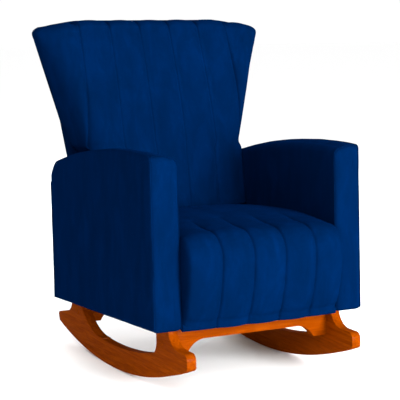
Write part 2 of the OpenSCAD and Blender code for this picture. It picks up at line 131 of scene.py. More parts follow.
def thinning(x, z):  # how much of its thickness the back keeps where its front edges roll back
    past = min(1, max(0, (abs(x) - backHalf(z) + body["edgeRoll"]) / body["edgeRoll"]))
    thick = backRear(z) - backFront(z)
    roll = min(body["edgeRoll"], 0.70 * thick) * (1 - math.sqrt(1 - past * past)) * aboveArms(z)
    return (thick - roll) / thick


# ---- meshes ----

def newPiece(name, points, faces, place=leanBack):
    mesh = bpy.data.meshes.new(name)
    mesh.from_pydata([tuple(p) for p in points], [], faces)
    mesh.validate()
    bm = bmesh.new()
    bm.from_mesh(mesh)
    bmesh.ops.remove_doubles(bm, verts=bm.verts, dist=0.00005)
    bmesh.ops.recalc_face_normals(bm, faces=bm.faces)
    bm.to_mesh(mesh)
    bm.free()
    mesh.transform(place)
    mesh.polygons.foreach_set("use_smooth", [True] * len(mesh.polygons))
    piece = bpy.data.objects.new(name, mesh)
    bpy.context.scene.collection.objects.link(piece)
    return piece


def loftFaces(rings, count):  # skin between closed rings, with a flat cap at each end
    faces = []
    for r in range(rings - 1):
        for k in range(count):
            n = (k + 1) % count
            faces.append((r * count + k, r * count + n, (r + 1) * count + n, (r + 1) * count + k))
    faces.append(tuple(range(count)))
    faces.append(tuple(range((rings - 1) * count, rings * count)))
    return faces


def slabFaces(rows, columns):  # an outer and an inner grid with a wall round their edges
    faces, back = [], rows * columns
    for r in range(rows - 1):
        for c in range(columns - 1):
            a, b = r * columns + c, (r + 1) * columns + c
            faces.append((a, a + 1, b + 1, b))
            faces.append((back + a, back + b, back + b + 1, back + a + 1))
    rim = [c for c in range(columns)]
    rim += [r * columns + columns - 1 for r in range(1, rows)]
    rim += [(rows - 1) * columns + c for c in range(columns - 2, -1, -1)]
    rim += [r * columns for r in range(rows - 2, 0, -1)]
    for a, b in zip(rim, rim[1:] + rim[:1]):
        faces.append((a, back + a, back + b, b))
    return faces


def useOnly(piece):
    bpy.ops.object.select_all(action="DESELECT")
    piece.select_set(True)
    bpy.context.view_layer.objects.active = piece


def applyAll(piece):
    useOnly(piece)
    for modifier in list(piece.modifiers):
        bpy.ops.object.modifier_apply(modifier=modifier.name)


def inflate(piece, held, pressure, cap):  # cloth under pressure, held at its seams and hidden faces
    start = [v.co.copy() for v in piece.data.vertices]
    group = piece.vertex_groups.new(name="held")
    for index, weight in enumerate(held(v) for v in start):
        if weight > 0:
            group.add([index], weight, "REPLACE")
    cloth = piece.modifiers.new("Fill", "CLOTH")
    cloth.settings.use_pressure = True
    cloth.settings.uniform_pressure_force = pressure
    cloth.settings.effector_weights.gravity = 0
    cloth.settings.vertex_group_mass = "held"
    cloth.settings.quality = 4
    cloth.settings.tension_stiffness = cloth.settings.compression_stiffness = 12
    cloth.settings.bending_stiffness = 0.8
    for number in range(1, 21):
        bpy.context.scene.frame_set(number)
    applyAll(piece)
    for vertex, was in zip(piece.data.vertices, start):
        move = vertex.co - was
        if move.length > cap:
            vertex.co = was + move * (cap / move.length)
    bpy.context.scene.frame_set(1)
    piece.vertex_groups.clear()


def subdivideOnce(piece):
    finer = piece.modifiers.new("Finer", "SUBSURF")
    finer.levels = finer.render_levels = 1
    finer.use_limit_surface = False  # a flat cap with many corners is very slow to take to its limit
    applyAll(piece)


def pucker(piece, seamAt, size, spacing):  # fine creases in the cloth, strongest beside a seam
    normals = [v.normal.copy() for v in piece.data.vertices]
    for vertex, normal in zip(piece.data.vertices, normals):
        p = upright @ vertex.co
        weight = seamAt(p)
        if weight > 0:
            broad = noise.noise(Vector((p.x, p.y, p.z)) / 0.11)
            fine = noise.noise(Vector((p.x / spacing * 0.55, p.y / spacing, p.z / spacing)))
            vertex.co += normal * size * (weight * fine + 0.7 * broad)


def creaseAt(distance):
    return groove["crease"] * math.exp(-(distance / groove["creaseWidth"]) ** 2)


def channelDip(x, half, channels, depth):  # how far the cloth is sewn in below its crest, at x
    t = (x + half) / (2 * half) * channels
    t = abs(t - math.floor(t) - 0.5) * 2
    sewn = (1 - t) * half / channels  # distance to the stitches
    return depth * (groove["hollow"] * t ** groove["hollowPower"] + creaseAt(sewn))


def seamDistance(x):  # to the nearest of the seams at 50, 150 and 250 mm
    step = body["channel"]
    t = x / step - 0.5
    return abs(t - round(t)) * step


def besideSeam(x, floor, share=groove["puckerShare"]):  # how strongly the cloth puckers at x
    return floor + share * math.exp(-seamDistance(x) / groove["puckerReach"])


# ---- materials ----

def linear(colour):
    values = [int(colour[i:i + 2], 16) / 255 for i in (1, 3, 5)]
    return tuple(v / 12.92 if v <= 0.04045 else ((v + 0.055) / 1.055) ** 2.4 for v in values) + (1,)


def addNode(material, kind, settings=None, **links):
    node = material.node_tree.nodes.new(kind)
    for key, value in (settings or {}).items():
        if hasattr(node, key):
            setattr(node, key, value)
        else:
            node.inputs[key].default_value = value
    for key, source in links.items():
        material.node_tree.links.new(source, node.inputs[key.replace("_", " ")])
    return node


def ramp(material, source, stops):
    node = addNode(material, "ShaderNodeValToRGB", Fac=source)
    node.color_ramp.elements[0].position, node.color_ramp.elements[0].color = stops[0]
    node.color_ramp.elements[1].position, node.color_ramp.elements[1].color = stops[-1]
    for position, colour in stops[1:-1]:
        node.color_ramp.elements.new(position).color = colour
    return node


def newMaterial(name, **constants):
    material = bpy.data.materials.new(name)
    material.use_nodes = True
    shader = material.node_tree.nodes["Principled BSDF"]
    for key, value in constants.items():
        shader.inputs[key.replace("_", " ")].default_value = value
    return material, shader


def surfaceBump(material, shader, height, strength, depth):
    bump = addNode(material, "ShaderNodeBump", {"Strength": strength, "Distance": depth}, Height=height)
    material.node_tree.links.new(bump.outputs["Normal"], shader.inputs["Normal"])


# Navy polyester velvet, a cut pile brushed one way: a matt deep blue, paler at grazing angles
# and clouded where the pile has been stroked the other way.
velvetLook = {
    "low": "#000f2b", "mid": "#001130", "high": "#001437", "cloud": 0.05, "pile": 0.0016,
    "roughness": 0.85, "sheen": 0.03, "sheenRoughness": 0.4, "sheenTint": "#0a4fb4",
}


def makeVelvet(look):
    material, shader = newMaterial(
        "navyVelvet", Roughness=look["roughness"], Sheen_Weight=look["sheen"],
        Sheen_Roughness=look["sheenRoughness"], Sheen_Tint=linear(look["sheenTint"]), Specular_IOR_Level=0.0)
    place = addNode(material, "ShaderNodeTexCoord").outputs["Object"]
    brushed = addNode(  # stroked up and down
        material, "ShaderNodeMapping", {"Scale": (1, 1, 0.3)}, Vector=place)
    stroke = addNode(material, "ShaderNodeTexNoise",
                     {"Scale": 1 / look["cloud"], "Detail": 4, "Roughness": 0.6, "Distortion": 0.6},
                     Vector=brushed.outputs[0])
    pile = addNode(material, "ShaderNodeTexNoise",  # tufts drawn at 1.6 mm, far coarser than the real pile
                   {"Scale": 1 / look["pile"], "Detail": 2, "Roughness": 0.7}, Vector=place)
    both = addNode(material, "ShaderNodeMath", {"operation": "ADD"})
    material.node_tree.links.new(stroke.outputs["Fac"], both.inputs[0])
    tuft = addNode(material, "ShaderNodeMath", {"operation": "MULTIPLY"})
    material.node_tree.links.new(pile.outputs["Fac"], tuft.inputs[0])
    tuft.inputs[1].default_value = 0.25
    material.node_tree.links.new(tuft.outputs[0], both.inputs[1])
    colour = ramp(material, both.outputs[0], [
        (0.38, linear(look["low"])), (0.62, linear(look["mid"])), (0.86, linear(look["high"]))])
    material.node_tree.links.new(colour.outputs["Color"], shader.inputs["Base Color"])
    surfaceBump(material, shader, pile.outputs["Fac"], 0.25, 0.0006)
    return material


# Beech stained to a warm honey brown under satin lacquer: fine long grain with short pores.
# Softwood for the hidden frame is the same figure, paler, wider and bare.
def makeWood(name, low, mid, high, along, ring, pore, roughness, coat):
    material, shader = newMaterial(
        name, Roughness=roughness, Coat_Weight=coat, Coat_Roughness=0.2, Specular_IOR_Level=0.0)
    place = addNode(material, "ShaderNodeTexCoord").outputs["Object"]
    stretch = [1, 1, 1]
    stretch["XYZ".index(along)] = 0.07  # figure runs fourteen times longer along the board
    board = addNode(material, "ShaderNodeMapping", {"Scale": stretch}, Vector=place)
    figure = addNode(material, "ShaderNodeTexNoise",
                     {"Scale": 1 / ring, "Detail": 5, "Roughness": 0.62, "Distortion": 1.2},
                     Vector=board.outputs[0])
    pores = addNode(material, "ShaderNodeTexNoise",
                    {"Scale": 1 / pore, "Detail": 3, "Roughness": 0.8}, Vector=board.outputs[0])
    colour = ramp(material, figure.outputs["Fac"], [
        (0.30, linear(low)), (0.52, linear(mid)), (0.74, linear(high))])
    darker = ramp(material, pores.outputs["Fac"], [(0.30, (0.72, 0.68, 0.62, 1)), (0.46, (1, 1, 1, 1))])
    mix = addNode(material, "ShaderNodeMix", {"data_type": "RGBA", "blend_type": "MULTIPLY"})
    mix.inputs[0].default_value = 1.0
    material.node_tree.links.new(colour.outputs["Color"], mix.inputs[6])
    material.node_tree.links.new(darker.outputs["Color"], mix.inputs[7])
    material.node_tree.links.new(mix.outputs[2], shader.inputs["Base Color"])
    surfaceBump(material, shader, pores.outputs["Fac"], 0.12, 0.0004)
    return material


# Plain cloths and boards: two tones broken up at the size of their own thread, flake or cell.
def makeSpeckled(name, low, high, grain, roughness, depth, stretch=(1, 1, 1)):
    material, shader = newMaterial(name, Roughness=roughness, Specular_IOR_Level=0.3)
    place = addNode(material, "ShaderNodeTexCoord").outputs["Object"]
    turned = addNode(material, "ShaderNodeMapping", {"Scale": stretch}, Vector=place)
    speck = addNode(material, "ShaderNodeTexNoise", {"Scale": 1 / grain, "Detail": 4, "Roughness": 0.7},
                    Vector=turned.outputs[0])
    colour = ramp(material, speck.outputs["Fac"], [(0.35, linear(low)), (0.65, linear(high))])
    material.node_tree.links.new(colour.outputs["Color"], shader.inputs["Base Color"])
    surfaceBump(material, shader, speck.outputs["Fac"], 0.4, depth)
    return material


# Zinc-plated steel: bright bluish grey, clouded by the plating and slightly rough.
def makeZinc():
    material, shader = newMaterial("zincSteel", Metallic=1.0)
    place = addNode(material, "ShaderNodeTexCoord").outputs["Object"]
    cloud = addNode(material, "ShaderNodeTexNoise", {"Scale": 1 / 0.006, "Detail": 5, "Roughness": 0.65},
                    Vector=place)
    colour = ramp(material, cloud.outputs["Fac"], [(0.3, linear("#9aa0a6")), (0.7, linear("#c6cacd"))])
    rough = addNode(material, "ShaderNodeMapRange", {"To Min": 0.28, "To Max": 0.46},
                    Value=cloud.outputs["Fac"])
    material.node_tree.links.new(colour.outputs["Color"], shader.inputs["Base Color"])
    material.node_tree.links.new(rough.outputs["Result"], shader.inputs["Roughness"])
    return material


velvet = makeVelvet(velvetLook)
stain = {"low": "#602300", "mid": "#702d00", "high": "#813902", "ring": 0.012, "pore": 0.0022,
         "roughness": 0.42, "coat": 0.02}
stainedLong = makeWood("stainedBeechAlongY", along="Y", **stain)
stainedWide = makeWood("stainedBeechAlongX", along="X", **stain)
pine = {"low": "#b98f5c", "mid": "#cfa873", "high": "#dfc092", "ring": 0.016, "pore": 0.003,
        "roughness": 0.62, "coat": 0.0}
pineLong = makeWood("sawnPineAlongY", along="Y", **pine)
pineWide = makeWood("sawnPineAlongX", along="X", **pine)
pineTall = makeWood("sawnPineAlongZ", along="Z", **pine)
plywood = makeWood("poplarPlywood", "#b08a58", "#c6a26c", "#d8b985", "Z", 0.024, 0.003, 0.6, 0.0)
hardboard = makeSpeckled("pressedHardboard", "#5f3c1f", "#7b5330", 0.0015, 0.7, 0.0004)
feltLook = makeSpeckled("needledFelt", "#6f685a", "#a79d8a", 0.003, 0.95, 0.0012)
webLook = makeSpeckled("juteWebbing", "#4a4238", "#756a59", 0.0012, 0.9, 0.0008, (1, 1, 2.5))
blackCloth = makeSpeckled("blackSpunCloth", "#121215", "#2a2a2f", 0.0013, 0.9, 0.0005)
zinc = makeZinc()
print("materials made")


def finishSoft(piece, material, replaced):
    piece.data.materials.clear()
    piece.data.materials.append(material)
    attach(piece, "root")
    if replaced:
        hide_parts(*replaced)
    return piece


# ---- seat: one padded block with five sewn channels over its rounded front ----

seat = {"half": 0.250, "seams": 5, "dip": 0.0105, "edge": 0.009, "endRound": 0.015, "tuck": 0.004,
        "tuckZ": 0.014, "fadeFrom": 0.050, "fadeTo": 0.170, "rearY": 0.653, "foamZ": 0.145,
        "pucker": 0.0011, "puckerPitch": 0.020,
        "apronY": 0.012, "pressure": 4.0, "cap": 0.006}


def seatLoop():  # side outline, as (y, z, how much the channels show there)
    loop = []
    for k in range(27):
        z = body["seatLow"] + (body["rollZ"] - body["seatLow"]) * k / 26
        loop.append((seatFront(z), z, 1.0))
    for degrees in range(175, 89, -5):
        a = math.radians(degrees)
        y = body["rollY"] + body["rollRadius"] * math.cos(a)
        z = body["rollZ"] + body["rollRadius"] * math.sin(a)
        loop.append((y, z, 1.0 - smoothStep(seat["fadeFrom"], seat["fadeTo"], y)))
    for k in range(1, 67):
        y = body["rollY"] + (seat["rearY"] - body["rollY"]) * k / 66
        loop.append((y, seatTop(y), 1.0 - smoothStep(seat["fadeFrom"], seat["fadeTo"], y)))
    rearTop = seatTop(seat["rearY"])
    for k in range(1, 13):
        loop.append((seat["rearY"], rearTop + (seat["foamZ"] - rearTop) * k / 12, 0.0))
    for k in range(1, 33):
        loop.append((seat["rearY"] + (seat["apronY"] - seat["rearY"]) * k / 32, seat["foamZ"], 0.0))
    for k in range(1, 13):
        loop.append((seat["apronY"], seat["foamZ"] + (body["seatLow"] - seat["foamZ"]) * k / 12, 0.0))
    loop.append((0.0, body["seatLow"], 0.0))
    return loop


def loopNormals(loop):  # outward, for a loop that runs front, top, rear, bottom
    count, normals = len(loop), []
    for k in range(count):
        before, after = loop[k - 1], loop[(k + 1) % count]
        dy, dz = after[0] - before[0], after[1] - before[1]
        length = math.hypot(dy, dz) or 1
        normals.append((-dz / length, dy / length))
    return normals


def loftAlongX(name, loop, stations, shape):  # stations give (x, inset), and shape moves each point
    normals, points = loopNormals(loop), []
    for x, inset in stations:
        for (y, z, weight), (ny, nz) in zip(loop, normals):
            points.append(shape(x, y, z, ny, nz, weight, inset))
    return newPiece(name, points, loftFaces(len(stations), len(loop)))


def channelColumns(half, channels):  # closest together beside each line of stitches
    pitch, columns = 2 * half / channels, []
    for n in range(channels):
        for share in (0, 0.02, 0.05, 0.10, 0.18, 0.28, 0.39, 0.50, 0.61, 0.72, 0.82, 0.90, 0.95, 0.98):
            columns.append(-half + (n + share) * pitch)
    return columns + [half]


def roundedStations(half, channels, radius):  # across the piece, closing in at both rounded ends
    steps = [(half - radius + radius * math.sin(a), radius * (1 - math.cos(a)))
             for a in [math.radians(d) for d in (20, 40, 60, 78)]]
    middle = [x for x in channelColumns(half, channels) if abs(x) <= half - radius + 0.001]
    return ([(-x, inset) for x, inset in reversed(steps)] + [(x, 0.0) for x in middle]
            + [(x, inset) for x, inset in steps])


def seatShape(x, y, z, ny, nz, weight, inset):
    dip = channelDip(x, seat["half"], seat["seams"], seat["dip"]) * weight
    sides = smoothStep(0.10, seat["half"], abs(x))
    crown = seat["edge"] * sides * sides if z > seat["foamZ"] or y < 0.0 else 0.0
    tuck = seat["tuck"] * math.exp(-((z - seat["tuckZ"]) / 0.006) ** 2) if y < -0.001 else 0.0
    away = dip + crown + tuck + (inset if weight > 0 or z > seat["foamZ"] + 0.001 else 0.0)
    return (x, y - ny * away, z - nz * away)


seatPiece = loftAlongX("seatCushion", seatLoop(),
                       roundedStations(seat["half"], seat["seams"], seat["endRound"]), seatShape)


def seatHeld(p):
    q = upright @ p
    if q.z < 0.004 or abs(q.x) > seat["half"] - 0.012 or q.y > 0.50 or (q.y > -0.010 and q.z < 0.20):
        return 1.0
    seam = math.exp(-(seamDistance(q.x) / 0.006) ** 2)
    return seam * (1 - smoothStep(0.04, 0.12, q.y))


inflate(seatPiece, seatHeld, seat["pressure"], seat["cap"])
subdivideOnce(seatPiece)
pucker(seatPiece, lambda p: besideSeam(p.x, 0.3) if p.z > 0.0 else 0.0, seat["pucker"], seat["puckerPitch"])
finishSoft(seatPiece, velvet, ["seat_foam", "seat_cover"])
print("seat cushion made")


# ---- back: one padded form, sewn into five channels with a wing beyond each outer seam ----

back = {"half": 0.250, "seams": 5, "dip": 0.0090, "topRound": 0.026, "puff": 0.007, "step": 0.013,
        "wingColumns": (0.01, 0.03, 0.07, 0.13, 0.20, 0.28, 0.36, 0.44, 0.52, 0.60, 0.68, 0.75, 0.81,
                        0.86, 0.90, 0.935, 0.96, 0.98, 0.993, 1.0),
        "sideRows": (0.90, 0.78, 0.60, 0.40, 0.20, 0.04),
        "scallop": 0.010, "pressure": 4.0, "cap": 0.004, "rearGap": 0.005,
        "rearRound": 0.008, "pucker": 0.0009, "puckerPitch": 0.022}


def backLoop(low, high, rounding):  # front face up, over the top, and down the rear
    loop, rearTop, corner = [], backRear(high) - back["rearGap"], back["rearRound"]
    for k in range(64):
        z = low + (high - rounding - low) * k / 63
        loop.append((backFront(z), z, 1.0))
    for degrees in range(15, 91, 15):
        a = math.radians(degrees)
        z = high - rounding + rounding * math.sin(a)
        loop.append((backFront(z) + rounding * (1 - math.cos(a)), z, 1.0))
    depthTop = rearTop - corner - (backFront(high) + rounding)
    for k in range(1, 8):
        loop.append((backFront(high) + rounding + depthTop * k / 7, high, 1.0 - 0.6 * k / 7))
    for degrees in (30, 60, 90):
        a = math.radians(degrees)
        loop.append((rearTop - corner + corner * math.sin(a), high - corner + corner * math.cos(a), 0.4))
    for k in range(1, 33):
        z = high - corner + (low - high + corner) * k / 32
        loop.append((backRear(z) - back["rearGap"], z, 0.0))
    rearLow = backRear(low) - back["rearGap"]
    for k in range(1, 12):
        loop.append((rearLow + (backFront(low) - rearLow) * k / 12, low, 0.0))
    return loop


# x runs over the channels and beyond, 0 to 1, over a wing; left is what remains of the side face.
def backPoint(y, z, ny, nz, weight, x, beyond, left):
    side = math.copysign(1, x)
    lowering = (back["step"] + (body["wingDrop"] - back["step"]) * beyond) * smoothStep(0, 0.06, beyond)
    height = z - lowering * smoothStep(body["wingFrom"], body["top"] - 0.010, z)
    if beyond > 0:
        seam = back["half"] * fanOut(height)
        width = backHalf(height) - seam
        across = side * (seam + width * beyond)
        sewn = width * beyond
        hollow = groove["hollow"] * max(0, 1 - sewn / groove["wingHollow"]) ** groove["hollowPower"]
        dip = back["dip"] * (hollow + creaseAt(sewn)) * weight
        dip -= back["puff"] * math.sin(math.pi * beyond) * min(1, width / 0.06) * weight
    else:
        across = x * fanOut(height)
        dip = channelDip(x, back["half"], back["seams"], back["dip"]) * weight
        notch = channelDip(x, back["half"], back["seams"], back["scallop"])
        height -= 0.35 * notch * smoothStep(body["shoulder"], body["top"], z) * (1 if weight > 0 else 0.3)
    rear = backRear(z) - back["rearGap"]
    depth = (rear - y + ny * dip) * thinning(across, height) * left
    return (across, rear - max(0.0, depth), height - nz * dip)


def backStations():  # (x, share of a wing, share of the side face left)
    edge = back["half"]
    wing = [(edge, beyond, 1.0) for beyond in back["wingColumns"]]
    wing += [(edge, 1.0, left) for left in back["sideRows"]]
    middle = [(x, 0.0, 1.0) for x in channelColumns(edge, back["seams"])]
    return [(-x, beyond, left) for x, beyond, left in reversed(wing)] + middle + wing


def makeBack():
    loop = backLoop(footZ - 0.007, body["top"], back["topRound"])
    stations, points = backStations(), []
    for x, beyond, left in stations:
        for (y, z, weight), (ny, nz) in zip(loop, loopNormals(loop)):
            points.append(backPoint(y, z, ny, nz, weight, x, beyond, left))
    return newPiece("backChannels", points, loftFaces(len(stations), len(loop)))


def backHeld(p):
    q = upright @ p
    across = q.x / fanOut(q.z)
    low = q.z < footZ + 0.015 or (q.z < wingZ + 0.02 and abs(across) > back["half"] - 0.006)
    if low or q.y > backRear(q.z) - 0.02:
        return 1.0
    rolled = 1 + (abs(q.x) - backHalf(q.z)) / body["edgeRoll"]  # held where it rolls back round the edge
    seam = math.exp(-(seamDistance(across) / 0.005) ** 2) if abs(across) < back["half"] + 0.02 else 0.0
    return max(seam, smoothStep(-0.1, 0.35, rolled) * aboveArms(q.z))


backPiece = makeBack()
inflate(backPiece, backHeld, back["pressure"], back["cap"])
subdivideOnce(backPiece)
pucker(backPiece, lambda p: besideSeam(p.x / fanOut((upright @ p).z), 0.25),
       back["pucker"], back["puckerPitch"])
finishSoft(backPiece, velvet, ["back_foam", "back_cover"])
print("back cushion made")


# ---- arms: padding wrapped in one cover, a panel on the front and one on the outer side ----

arm = {"innerRound": 0.024, "outerRound": 0.010, "slope": 0.007, "frontRound": 0.016, "rows": 80,
       "frontGap": 0.003, "rearGap": 0.005, "evenShare": 0.7, "closing": 0.9,
       "pucker": 0.0009, "puckerPitch": 0.030, "frontPucker": 0.0006}


# Closed (x, z) outline: up the inner side, over the arched top, down the outer side, along the bottom.
def armSection(width, height, inset, lowRound=0.003):
    x0, x1 = inset, width - inset
    ri, ro = max(0.003, arm["innerRound"] - inset * 0.6), max(0.003, arm["outerRound"] - inset * 0.3)
    top, low = height - inset, max(0.002, lowRound - inset * 0.4)
    base = inset if lowRound > 0.004 else 0.0
    outline = []
    for k in range(52):
        outline.append((x0, base + low + (top - arm["slope"] - ri - base - low) * k / 51))
    for degrees in (15, 30, 45, 60, 75, 90):
        a = math.radians(degrees)
        outline.append((x0 + ri * (1 - math.cos(a)), top - arm["slope"] - ri + ri * math.sin(a)))
    for k in range(1, 8):
        t = k / 8
        x = x0 + ri + (x1 - ro - x0 - ri) * t
        outline.append((x, top - arm["slope"] * (1 - math.sin(math.pi / 2 * min(1, t / 0.75)))
                        - 0.002 * max(0, (t - 0.75) / 0.25) ** 2))
    for degrees in (0, 22, 45, 67, 90):
        a = math.radians(degrees)
        outline.append((x1 - ro + ro * math.sin(a), top - 0.002 - ro + ro * math.cos(a)))
    for k in range(1, 41):
        outline.append((x1, top - 0.002 - ro + (base + low - top + 0.002 + ro) * k / 40))
    for degrees in (30, 60, 90):
        a = math.radians(degrees)
        outline.append((x1 - low + low * math.cos(a), base + low - low * math.sin(a)))
    for k in range(1, 7):
        outline.append((x1 - low + (x0 - x1 + 2 * low) * k / 6, base))
    for degrees in (60, 30):
        a = math.radians(degrees)
        outline.append((x0 + low - low * math.cos(a), base + low - low * math.sin(a)))
    return outline


def armHeightAt(y):  # the rear end comes down in a round
    return armTop(y) - cornerDrop(body["armRear"] - y, body["armRearRadius"])


def makeArm(side, suffix):
    width, points, stations = body["panelX"] - body["armInner"], [], []
    for degrees in (8, 25, 42, 60, 75, 90):
        a = math.radians(degrees)
        short = arm["frontRound"] * (1 - math.sin(a))
        stations.append((short + arm["frontGap"], short))
    start, length = arm["frontRound"] + arm["frontGap"], body["armRear"] - arm["frontRound"] - arm["rearGap"]
    even = math.sin(arm["evenShare"] * math.pi / 2) ** arm["closing"] / arm["evenShare"]
    for k in range(1, arm["rows"] + 1):  # evenly spaced, then closer together towards the rounded rear
        t = k / arm["rows"]
        along = math.sin(t * math.pi / 2) ** arm["closing"] if t > arm["evenShare"] else t * even
        stations.append((start + length * along, 0.0))
    for y, inset in stations:
        section = armSection(width, armHeightAt(y), inset)
        for x, z in section:
            points.append((side * (body["armInner"] + x), y, z))
    piece = newPiece("armCushion" + suffix, points, loftFaces(len(stations), len(section)))
    subdivideOnce(piece)
    pucker(piece, lambda p: 0.45 if p.z > 0.01 else 0.0, arm["pucker"], arm["puckerPitch"])
    replaced = ["arm_padding_" + suffix.lower(), "arm_cover_" + suffix.lower()]
    return finishSoft(piece, velvet, replaced)


def makeFrontPanel(side, suffix):  # rings closing in to the middle of the arm's front
    width, points = body["panelX"] + 0.002 - body["armInner"], []
    rings = [(0.001, 0.016), (0.0, 0.012), (0.0008, 0.007), (0.003, 0.003), (0.0065, 0.0002),
             (0.011, -0.0014), (0.017, -0.0024), (0.024, -0.0030)]
    for inset, y in rings:
        for x, z in armSection(width, armHeightAt(0.003) - 0.001, inset, 0.012):
            points.append((side * (body["armInner"] + x), y, z - body["skirt"] * (1 - z / 0.5)))
    count = len(points) // len(rings)
    piece = newPiece("armFrontPanel" + suffix, points, loftFaces(len(rings), count))
    subdivideOnce(piece)
    pucker(piece, lambda p: 0.3, arm["frontPucker"], arm["puckerPitch"])
    return finishSoft(piece, velvet, ["arm_front_panel_" + suffix.lower()])


panel = {"sideSwell": 0.0035, "backSwell": 0.004, "swellReach": 0.05, "sideEdge": 0.005, "backEdge": 0.005,
         "corner": 0.010, "pucker": 0.0010, "puckerPitch": 0.05}


def swellAt(edge, height, edgeReach):  # fullness of a panel at a distance from its edge
    inside = -max(0, edge)
    return height * (1 - math.exp(inside / panel["swellReach"])) - height * math.exp(inside / edgeReach)


def makeSidePanel(side, suffix):
    rows, columns, outer, inner = 90, 60, [], []
    for r in range(rows):
        y = 0.001 + (body["armRear"] - 0.001) * (1 - math.cos(math.pi * r / (rows - 1))) / 2
        for c in range(columns):
            t = c / (columns - 1)
            crest = armLine(min(body["armRear"] - 0.0005, max(0.0005, y)))
            corners = cornerDrop(y, panel["corner"]) + cornerDrop(body["armRear"] - y, panel["corner"])
            base = 0.005 - body["skirt"] + corners
            z = base + (crest - 0.001 - base) * t
            edge = min(y, body["armRear"] - y, z - base + 0.001, crest - z)
            swell = swellAt(edge, panel["sideSwell"], panel["sideEdge"])
            outer.append((side * (body["halfWidth"] + swell - 0.0005), y, z))
            inner.append((side * (body["panelX"] - 0.001), y, z))
    piece = newPiece("sidePanel" + suffix, outer + inner, slabFaces(rows, columns))
    pucker(piece, lambda p: 0.6, panel["pucker"], panel["puckerPitch"])
    return finishSoft(piece, velvet, ["side_panel_" + suffix.lower()])


for side, suffix in ((1, "Left"), (-1, "Right")):
    makeArm(side, suffix)
    makeFrontPanel(side, suffix)
    makeSidePanel(side, suffix)
print("arms made")


# ---- outside back panel ----

def panelHalf(z):
    if z <= panelZ - 0.004:
        return body["halfWidth"]
    low, high = panelZ - 0.004, panelZ + 0.054
    if z <= high:
        return body["halfWidth"] + (body["waistHalf"] + 0.004 - body["halfWidth"]) * smoothStep(low, high, z)
    lowering = body["wingDrop"] * smoothStep(body["wingFrom"], body["top"], z)
    return max(body["waistHalf"] + 0.002 if z < wingZ + 0.05 else 0, backHalf(z - lowering) - 0.001)


def makeBackPanel():
    rows, columns, outer, inner = 110, 80, [], []
    for r in range(rows):
        z = 0.001 + (body["top"] - 0.002) * r / (rows - 1)
        half = panelHalf(z)
        for c in range(columns):
            u = -1 + 2 * c / (columns - 1)
            x = u * half
            lower = body["wingDrop"] * smoothStep(back["half"] - 0.02, body["flareHalf"], abs(x))
            height = z - lower * smoothStep(body["wingFrom"], body["top"], z)
            edge = min(half - abs(x), z, body["top"] - z)
            swell = swellAt(edge, panel["backSwell"], panel["backEdge"])
            outer.append((x, backRear(height) + swell - 0.0005, height))
            inner.append((x, backRear(height) - 0.0055, height))
    piece = newPiece("backPanel", outer + inner, slabFaces(rows, columns))
    pucker(piece, lambda p: 0.6, panel["pucker"], panel["puckerPitch"])
    return finishSoft(piece, velvet, ["back_panel"])


makeBackPanel()
print("back panel made")


# ---- soft pieces inside and under the seat and back ----

def uprightBox(source):
    points = [upright @ v.co for v in nodes[source].data.vertices]
    return [min(p[k] for p in points) for k in range(3)], [max(p[k] for p in points) for k in range(3)]


def gridPiece(name, rows, columns, faceAt, thickness):  # faceAt(v, u, depth) gives a point on either face
    points = [faceAt(r / (rows - 1), c / (columns - 1), depth)
              for depth in (0, thickness) for r in range(rows) for c in range(columns)]
    return newPiece(name, points, slabFaces(rows, columns))


dust = {"pitch": 0.058, "sag": 0.004, "gather": 0.0009, "thick": 0.0006, "hem": 0.012, "stapleCrown": 0.010,
        "stapleWire": 0.0005}


def makeDustCover():
    low, high = uprightBox("dust_cover")

    def faceAt(v, u, depth):
        x, y = low[0] + (high[0] - low[0]) * u, low[1] + (high[1] - low[1]) * v
        edge = min(x - low[0], high[0] - x, y - low[1], high[1] - y)
        along = y if min(x - low[0], high[0] - x) < min(y - low[1], high[1] - y) else x
        sag = dust["sag"] * math.sin(math.pi * u) * math.sin(math.pi * v)
        gather = dust["gather"] * math.sin(2 * math.pi * along / dust["pitch"]) * math.exp(-edge / 0.030)
        hem = 0.0006 if edge < dust["hem"] else 0.0
        return (x, y, -0.0006 - sag + gather * smoothStep(0.0, 0.006, edge) - hem + depth)

    piece = gridPiece("dustCoverCloth", 90, 80, faceAt, dust["thick"])
    finishSoft(piece, blackCloth, ["dust_cover"])
    return low, high


def wireAlong(path, radius, points, faces):  # a six-sided wire through the points of path
    start = len(points)
    for k, p in enumerate(path):
        ahead = Vector(path[min(k + 1, len(path) - 1)]) - Vector(path[max(k - 1, 0)])
        across = ahead.cross(Vector((0.3, 0.5, 0.81))).normalized()
        other = ahead.cross(across).normalized()
        for n in range(6):
            a = math.pi * n / 3
            points.append(Vector(p) + (across * math.cos(a) + other * math.sin(a)) * radius)
    for k in range(len(path) - 1):
        for n in range(6):
            a, b = start + k * 6 + n, start + k * 6 + (n + 1) % 6
            faces.append((a, b, b + 6, a + 6))
    faces.append(tuple(range(start, start + 6)))
    faces.append(tuple(range(start + 6 * len(path) - 6, start + 6 * len(path))))


